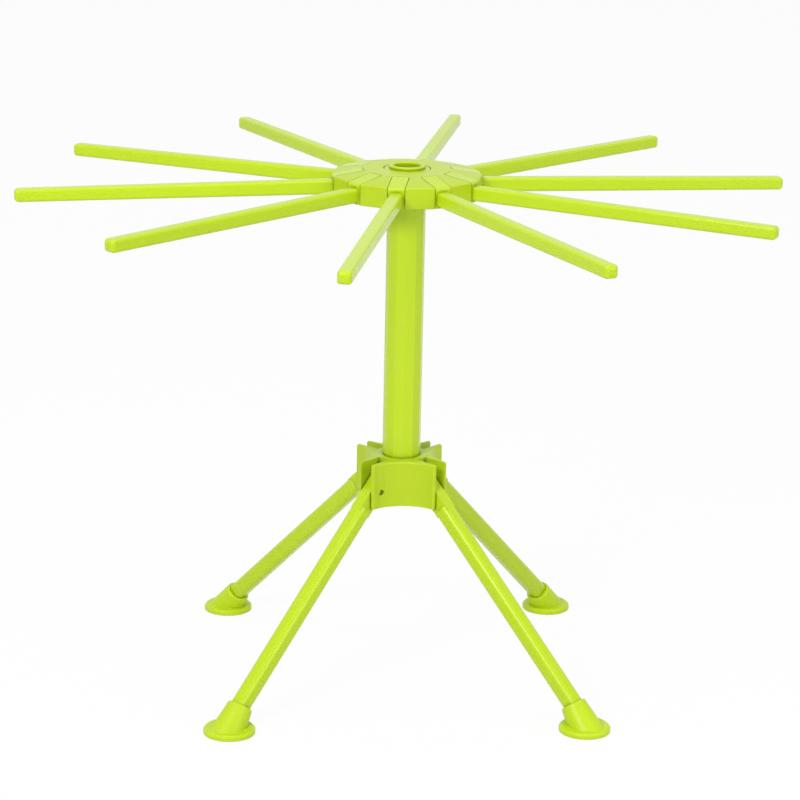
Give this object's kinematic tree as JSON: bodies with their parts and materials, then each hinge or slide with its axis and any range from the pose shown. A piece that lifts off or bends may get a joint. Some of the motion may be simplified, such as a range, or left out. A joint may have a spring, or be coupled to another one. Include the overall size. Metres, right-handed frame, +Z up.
{
  "type": "pasta drying rack",
  "caption": "Free-standing rack for drying fresh pasta: fold-down arms in a turning hub, on a column with folding legs in soft boots.",
  "frame": {"origin": "on the surface that the feet stand on, under the axis of the column", "axes": "+Z up the column; the legs point along the diagonals between X and Y, and one arm points 6.3 degrees from +X towards +Y"},
  "size_m": [0.4378, 0.4318, 0.302],
  "materials": {
    "arm_plastic": "moulded ABS, fine satin gloss",
    "leg_plastic": "moulded ABS, fine satin gloss",
    "hub_plastic": "moulded ABS, satin top with glossy sides",
    "cap_plastic": "moulded ABS, glossy",
    "column_plastic": "moulded ABS, glossy",
    "boot_rubber": "soft vinyl, satin",
    "washer_plastic": "natural acetal, matt",
    "pin_steel": "drawn steel wire",
    "screw_steel": "zinc-plated steel"
  },
  "bodies": {
    "stand": {"base_hub": "hub_plastic", "leg_hinge_pins": "pin_steel", "column_tube": "column_plastic", "column_plug": "column_plastic", "base_screw": "screw_steel", "hub_spindle": "column_plastic", "hub_washer": "washer_plastic", "column_cap": "cap_plastic", "cap_screw": "screw_steel"},
    "hub": {"hub_body": "hub_plastic", "hub_retainer": "hub_plastic", "hub_screws": "screw_steel", "arm_hinge_pins": "pin_steel"},
    "arm_01_body": {"arm_01": "arm_plastic"},
    "arm_02_body": {"arm_02": "arm_plastic"},
    "arm_03_body": {"arm_03": "arm_plastic"},
    "arm_04_body": {"arm_04": "arm_plastic"},
    "arm_05_body": {"arm_05": "arm_plastic"},
    "arm_06_body": {"arm_06": "arm_plastic"},
    "arm_07_body": {"arm_07": "arm_plastic"},
    "arm_08_body": {"arm_08": "arm_plastic"},
    "arm_09_body": {"arm_09": "arm_plastic"},
    "arm_10_body": {"arm_10": "arm_plastic"},
    "leg_1_body": {"leg_1": "leg_plastic", "foot_1": "boot_rubber"},
    "leg_2_body": {"leg_2": "leg_plastic", "foot_2": "boot_rubber"},
    "leg_3_body": {"leg_3": "leg_plastic", "foot_3": "boot_rubber"},
    "leg_4_body": {"leg_4": "leg_plastic", "foot_4": "boot_rubber"}
  },
  "joints": [
    {"name": "hub_spin", "type": "hinge", "parent": "stand", "child": "hub", "pos_m": [0, 0, 0.285], "axis": [0, 0, 1], "continuous": true},
    {"name": "arm_01_fold", "type": "hinge", "parent": "hub", "child": "arm_01_body", "pos_m": [0.0333, 0.00368, 0.2905], "axis": [-0.1097, 0.994, 0], "range_deg": [0, 84]},
    {"name": "arm_02_fold", "type": "hinge", "parent": "hub", "child": "arm_02_body", "pos_m": [0.02478, 0.02255, 0.2905], "axis": [-0.673, 0.7396, 0], "range_deg": [0, 84]},
    {"name": "arm_03_fold", "type": "hinge", "parent": "hub", "child": "arm_03_body", "pos_m": [0.00679, 0.0328, 0.2905], "axis": [-0.9792, 0.2028, 0], "range_deg": [0, 84]},
    {"name": "arm_04_fold", "type": "hinge", "parent": "hub", "child": "arm_04_body", "pos_m": [-0.01379, 0.03053, 0.2905], "axis": [-0.9114, -0.4115, 0], "range_deg": [0, 84]},
    {"name": "arm_05_fold", "type": "hinge", "parent": "hub", "child": "arm_05_body", "pos_m": [-0.0291, 0.0166, 0.2905], "axis": [-0.4955, -0.8686, 0], "range_deg": [0, 84]},
    {"name": "arm_06_fold", "type": "hinge", "parent": "hub", "child": "arm_06_body", "pos_m": [-0.0333, -0.00368, 0.2905], "axis": [0.1097, -0.994, 0], "range_deg": [0, 84]},
    {"name": "arm_07_fold", "type": "hinge", "parent": "hub", "child": "arm_07_body", "pos_m": [-0.02478, -0.02255, 0.2905], "axis": [0.673, -0.7396, 0], "range_deg": [0, 84]},
    {"name": "arm_08_fold", "type": "hinge", "parent": "hub", "child": "arm_08_body", "pos_m": [-0.00679, -0.0328, 0.2905], "axis": [0.9792, -0.2028, 0], "range_deg": [0, 84]},
    {"name": "arm_09_fold", "type": "hinge", "parent": "hub", "child": "arm_09_body", "pos_m": [0.01379, -0.03053, 0.2905], "axis": [0.9114, 0.4115, 0], "range_deg": [0, 84]},
    {"name": "arm_10_fold", "type": "hinge", "parent": "hub", "child": "arm_10_body", "pos_m": [0.0291, -0.0166, 0.2905], "axis": [0.4955, 0.8686, 0], "range_deg": [0, 84]},
    {"name": "leg_1_fold", "type": "hinge", "parent": "stand", "child": "leg_1_body", "pos_m": [0.01697, 0.01697, 0.1147], "axis": [-0.7071, 0.7071, 0], "range_deg": [0, 46]},
    {"name": "leg_2_fold", "type": "hinge", "parent": "stand", "child": "leg_2_body", "pos_m": [-0.01697, 0.01697, 0.1147], "axis": [-0.7071, -0.7071, 0], "range_deg": [0, 46]},
    {"name": "leg_3_fold", "type": "hinge", "parent": "stand", "child": "leg_3_body", "pos_m": [-0.01697, -0.01697, 0.1147], "axis": [0.7071, -0.7071, 0], "range_deg": [0, 46]},
    {"name": "leg_4_fold", "type": "hinge", "parent": "stand", "child": "leg_4_body", "pos_m": [0.01697, -0.01697, 0.1147], "axis": [0.7071, 0.7071, 0], "range_deg": [0, 46]}
  ]
}
